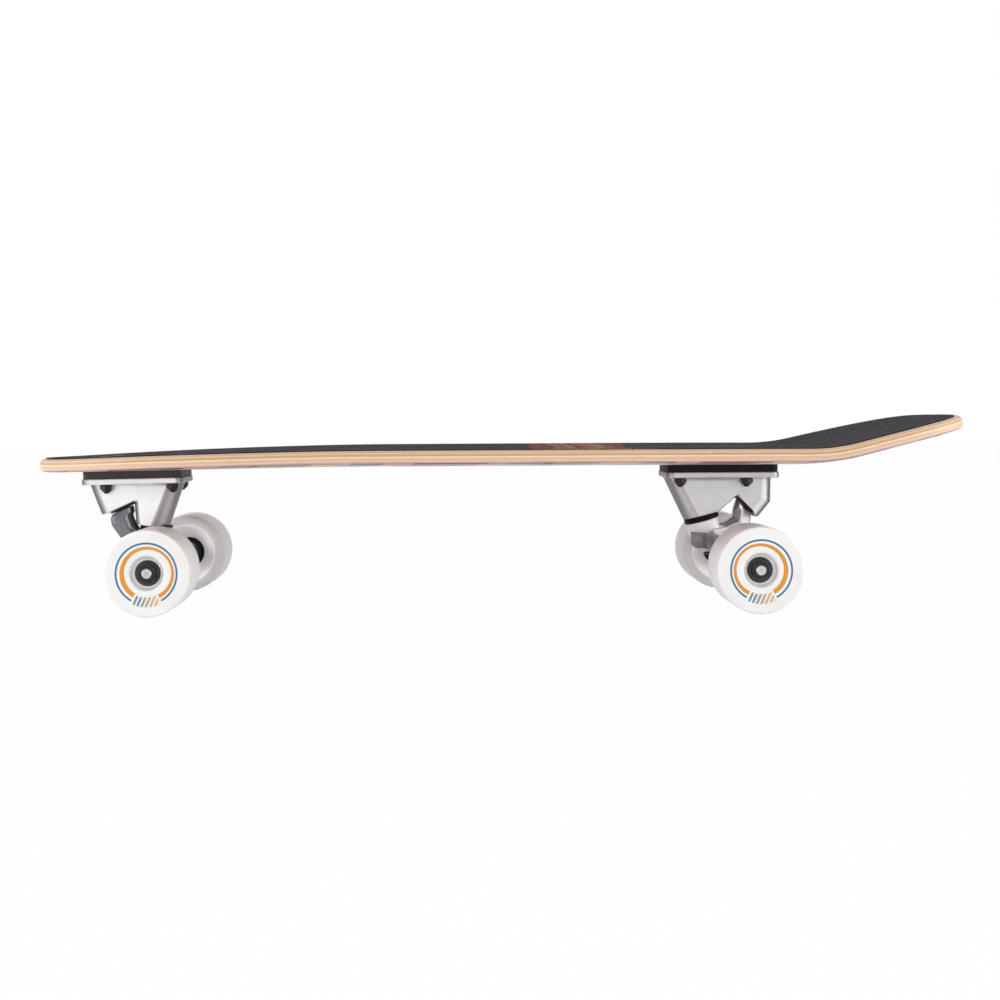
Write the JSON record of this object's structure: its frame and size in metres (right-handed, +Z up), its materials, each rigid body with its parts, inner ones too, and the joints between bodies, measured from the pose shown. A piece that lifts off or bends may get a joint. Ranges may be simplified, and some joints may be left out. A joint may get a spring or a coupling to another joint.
{
  "type": "surfskate",
  "caption": "Short cruiser board with a kicktail, on a deep-steering sprung front truck, a sprung rear truck and soft free-rolling wheels.",
  "frame": {"origin": "on the floor, under the middle of the board's box", "axes": "+X towards the tail, -X towards the nose, +Z up; the board's mirror plane is Y = 0"},
  "size_m": [0.7428, 0.252, 0.1501],
  "materials": {
    "deck": "clear lacquer over maple plies",
    "grip_tape": "silicon carbide grit",
    "front_riser": "matte",
    "front_baseplate": "tumbled casting",
    "front_pivot_cup": "satin",
    "front_kingpin": "plain",
    "front_upper_bushing": "satin",
    "front_lower_bushing": "satin",
    "front_kingpin_washer": "plain",
    "front_kingpin_nut": "plain",
    "front_hanger": "tumbled casting",
    "front_axle": "plain",
    "front_left_wheel": "satin",
    "front_left_outer_bearing": "black oxide",
    "front_left_inner_bearing": "black oxide",
    "front_left_spacer": "plain",
    "front_left_axle_nut": "black oxide",
    "front_right_wheel": "satin",
    "front_right_outer_bearing": "black oxide",
    "front_right_inner_bearing": "black oxide",
    "front_right_spacer": "plain",
    "front_right_axle_nut": "black oxide",
    "front_bolt_1": "black oxide",
    "front_nut_1": "black oxide",
    "front_bolt_2": "black oxide",
    "front_nut_2": "black oxide",
    "front_bolt_3": "black oxide",
    "front_nut_3": "black oxide",
    "front_bolt_4": "black oxide",
    "front_nut_4": "black oxide",
    "rear_riser": "matte",
    "rear_baseplate": "tumbled casting",
    "rear_pivot_cup": "satin",
    "rear_kingpin": "plain",
    "rear_upper_bushing": "satin",
    "rear_lower_bushing": "satin",
    "rear_kingpin_washer": "plain",
    "rear_kingpin_nut": "plain",
    "rear_hanger": "tumbled casting",
    "rear_axle": "plain",
    "rear_left_wheel": "satin",
    "rear_left_outer_bearing": "black oxide",
    "rear_left_inner_bearing": "black oxide",
    "rear_left_spacer": "plain",
    "rear_left_axle_nut": "black oxide",
    "rear_right_wheel": "satin",
    "rear_right_outer_bearing": "black oxide",
    "rear_right_inner_bearing": "black oxide",
    "rear_right_spacer": "plain",
    "rear_right_axle_nut": "black oxide",
    "rear_bolt_1": "black oxide",
    "rear_nut_1": "black oxide",
    "rear_bolt_2": "black oxide",
    "rear_nut_2": "black oxide",
    "rear_bolt_3": "black oxide",
    "rear_nut_3": "black oxide",
    "rear_bolt_4": "black oxide",
    "rear_nut_4": "black oxide"
  },
  "bodies": {
    "board": {"deck": "deck", "grip_tape": "grip_tape", "front_riser": "front_riser", "front_baseplate": "front_baseplate", "front_pivot_cup": "front_pivot_cup", "front_kingpin": "front_kingpin", "front_upper_bushing": "front_upper_bushing", "front_lower_bushing": "front_lower_bushing", "front_kingpin_washer": "front_kingpin_washer", "front_kingpin_nut": "front_kingpin_nut", "front_bolt_1": "front_bolt_1", "front_nut_1": "front_nut_1", "front_bolt_2": "front_bolt_2", "front_nut_2": "front_nut_2", "front_bolt_3": "front_bolt_3", "front_nut_3": "front_nut_3", "front_bolt_4": "front_bolt_4", "front_nut_4": "front_nut_4", "rear_riser": "rear_riser", "rear_baseplate": "rear_baseplate", "rear_pivot_cup": "rear_pivot_cup", "rear_kingpin": "rear_kingpin", "rear_upper_bushing": "rear_upper_bushing", "rear_lower_bushing": "rear_lower_bushing", "rear_kingpin_washer": "rear_kingpin_washer", "rear_kingpin_nut": "rear_kingpin_nut", "rear_bolt_1": "rear_bolt_1", "rear_nut_1": "rear_nut_1", "rear_bolt_2": "rear_bolt_2", "rear_nut_2": "rear_nut_2", "rear_bolt_3": "rear_bolt_3", "rear_nut_3": "rear_nut_3", "rear_bolt_4": "rear_bolt_4", "rear_nut_4": "rear_nut_4"},
    "front_truck": {"front_hanger": "front_hanger", "front_axle": "front_axle", "front_left_axle_nut": "front_left_axle_nut", "front_right_axle_nut": "front_right_axle_nut"},
    "rear_truck": {"rear_hanger": "rear_hanger", "rear_axle": "rear_axle", "rear_left_axle_nut": "rear_left_axle_nut", "rear_right_axle_nut": "rear_right_axle_nut"},
    "front_left_roller": {"front_left_wheel": "front_left_wheel", "front_left_outer_bearing": "front_left_outer_bearing", "front_left_inner_bearing": "front_left_inner_bearing", "front_left_spacer": "front_left_spacer"},
    "front_right_roller": {"front_right_wheel": "front_right_wheel", "front_right_outer_bearing": "front_right_outer_bearing", "front_right_inner_bearing": "front_right_inner_bearing", "front_right_spacer": "front_right_spacer"},
    "rear_left_roller": {"rear_left_wheel": "rear_left_wheel", "rear_left_outer_bearing": "rear_left_outer_bearing", "rear_left_inner_bearing": "rear_left_inner_bearing", "rear_left_spacer": "rear_left_spacer"},
    "rear_right_roller": {"rear_right_wheel": "rear_right_wheel", "rear_right_outer_bearing": "rear_right_outer_bearing", "rear_right_inner_bearing": "rear_right_inner_bearing", "rear_right_spacer": "rear_right_spacer"}
  },
  "joints": [
    {"name": "front_steer", "type": "hinge", "parent": "board", "child": "front_truck", "pos_m": [-0.27999, 0, 0.05267], "axis": [-0.7008, 0, 0.7133], "range_deg": [-22, 22], "stiffness_Nm_per_rad": 22, "deforming": ["front_upper_bushing", "front_lower_bushing"]},
    {"name": "front_left_roll", "type": "hinge", "parent": "front_truck", "child": "front_left_roller", "pos_m": [-0.2642, -0.0815, 0.033], "axis": [0, 1, 0], "continuous": true},
    {"name": "front_right_roll", "type": "hinge", "parent": "front_truck", "child": "front_right_roller", "pos_m": [-0.2642, 0.0815, 0.033], "axis": [0, 1, 0], "continuous": true},
    {"name": "rear_steer", "type": "hinge", "parent": "board", "child": "rear_truck", "pos_m": [0.174, 0, 0.0598], "axis": [0.8748, 0, 0.4846], "range_deg": [-15, 15], "stiffness_Nm_per_rad": 35, "deforming": ["rear_upper_bushing", "rear_lower_bushing"]},
    {"name": "rear_left_roll", "type": "hinge", "parent": "rear_truck", "child": "rear_left_roller", "pos_m": [0.1994, -0.0815, 0.033], "axis": [0, 1, 0], "continuous": true},
    {"name": "rear_right_roll", "type": "hinge", "parent": "rear_truck", "child": "rear_right_roller", "pos_m": [0.1994, 0.0815, 0.033], "axis": [0, 1, 0], "continuous": true}
  ]
}
